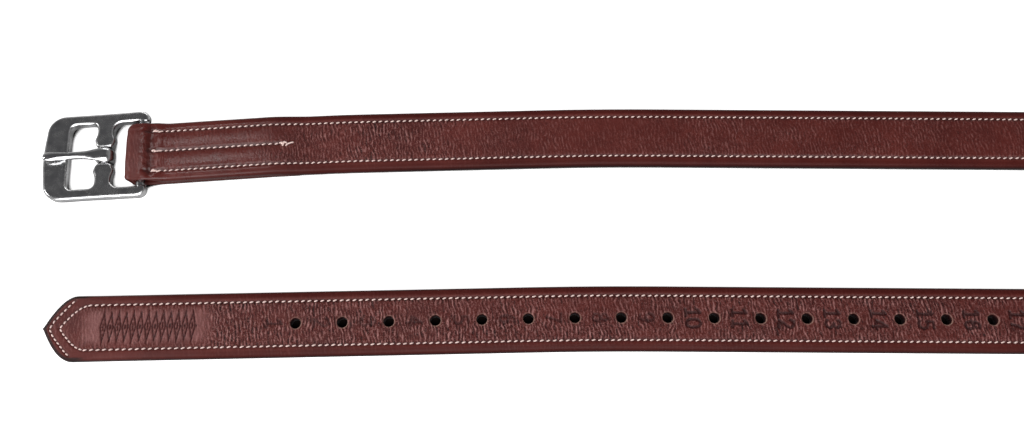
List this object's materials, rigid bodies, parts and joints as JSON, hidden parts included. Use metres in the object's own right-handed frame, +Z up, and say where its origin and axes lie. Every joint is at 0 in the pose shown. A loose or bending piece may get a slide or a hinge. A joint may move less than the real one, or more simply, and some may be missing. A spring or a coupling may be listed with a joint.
{
  "type": "stirrup leather",
  "caption": "Padded, stitched leather stirrup strap with a pointed, punched and numbered tip and a cast steel buckle hung in its folded end.",
  "frame": {"origin": "the point of the strap's tip, on the table plane that the strap's back rests on", "axes": "+X along the tip section, from the point towards the loop; +Y across, towards the buckle run; +Z up, out of the strap's face"},
  "size_m": [0.6826, 0.1089, 0.0255],
  "materials": {
    "face_leather": "soft grained calf, oxblood brown, semi-matt",
    "back_leather": "smooth, matt",
    "nylon": "woven nylon tape",
    "thread": "waxed cream thread",
    "steel": "polished cast steel with a satin top"
  },
  "bodies": {
    "tip_section": {"tip_face_leather": "face_leather", "tip_back_leather": "back_leather", "tip_nylon_core": "nylon", "tip_stitching": "thread", "tip_point_stitching": "thread"},
    "hole_section": {"holes_face_leather": "face_leather", "holes_back_leather": "back_leather", "holes_nylon_core": "nylon", "holes_stitching": "thread"},
    "loop_tip_side": {"loop_a_face_leather": "face_leather", "loop_a_back_leather": "back_leather", "loop_a_nylon_core": "nylon", "loop_a_stitching": "thread"},
    "loop_buckle_side": {"loop_b_face_leather": "face_leather", "loop_b_back_leather": "back_leather", "loop_b_nylon_core": "nylon", "loop_b_stitching": "thread"},
    "far_section": {"far_face_leather": "face_leather", "far_back_leather": "back_leather", "far_nylon_core": "nylon", "far_stitching": "thread"},
    "mid_section": {"mid_face_leather": "face_leather", "mid_back_leather": "back_leather", "mid_nylon_core": "nylon", "mid_stitching": "thread"},
    "buckle_end": {"end_face_leather": "face_leather", "end_back_leather": "back_leather", "end_nylon_core": "nylon", "end_stitching": "thread", "end_centre_stitching": "thread"},
    "buckle_frame": {"buckle_frame": "steel"},
    "buckle_tongue": {"buckle_tongue": "steel"}
  },
  "joints": [
    {"name": "tip_lift", "type": "hinge", "parent": "hole_section", "child": "tip_section", "pos_m": [0.211, 0, 0.0022], "axis": [0, 1, 0], "range_deg": [0, 40]},
    {"name": "hole_section_lift", "type": "hinge", "parent": "loop_tip_side", "child": "hole_section", "pos_m": [0.42991, -0.00611, 0.0022], "axis": [0.0279, 0.9996, 0], "range_deg": [0, 40]},
    {"name": "loop_spread", "type": "hinge", "parent": "loop_tip_side", "child": "loop_buckle_side", "pos_m": [0.67096, 0.02487, 0.0127], "axis": [0, 0, -1], "range_deg": [-2, 35]},
    {"name": "far_lift", "type": "hinge", "parent": "loop_buckle_side", "child": "far_section", "pos_m": [0.43202, 0.06926, 0.0022], "axis": [0.0279, 0.9996, 0], "range_deg": [0, 40]},
    {"name": "mid_lift", "type": "hinge", "parent": "far_section", "child": "mid_section", "pos_m": [0.2161, 0.07529, 0.0022], "axis": [-0.0056, 1, 0], "range_deg": [0, 40]},
    {"name": "end_lift", "type": "hinge", "parent": "mid_section", "child": "buckle_end", "pos_m": [0.10411, 0.07466, 0.0022], "axis": [-0.0515, 0.9987, 0], "range_deg": [0, 40]},
    {"name": "buckle_swing", "type": "hinge", "parent": "buckle_end", "child": "buckle_frame", "pos_m": [0.0305, 0.07087, 0.00405], "axis": [-0.0515, 0.9987, 0], "range_deg": [0, 80]},
    {"name": "tongue_swing", "type": "hinge", "parent": "buckle_frame", "child": "buckle_tongue", "pos_m": [0.01552, 0.0701, 0.00405], "axis": [-0.0515, 0.9987, 0], "range_deg": [0, 115]}
  ]
}
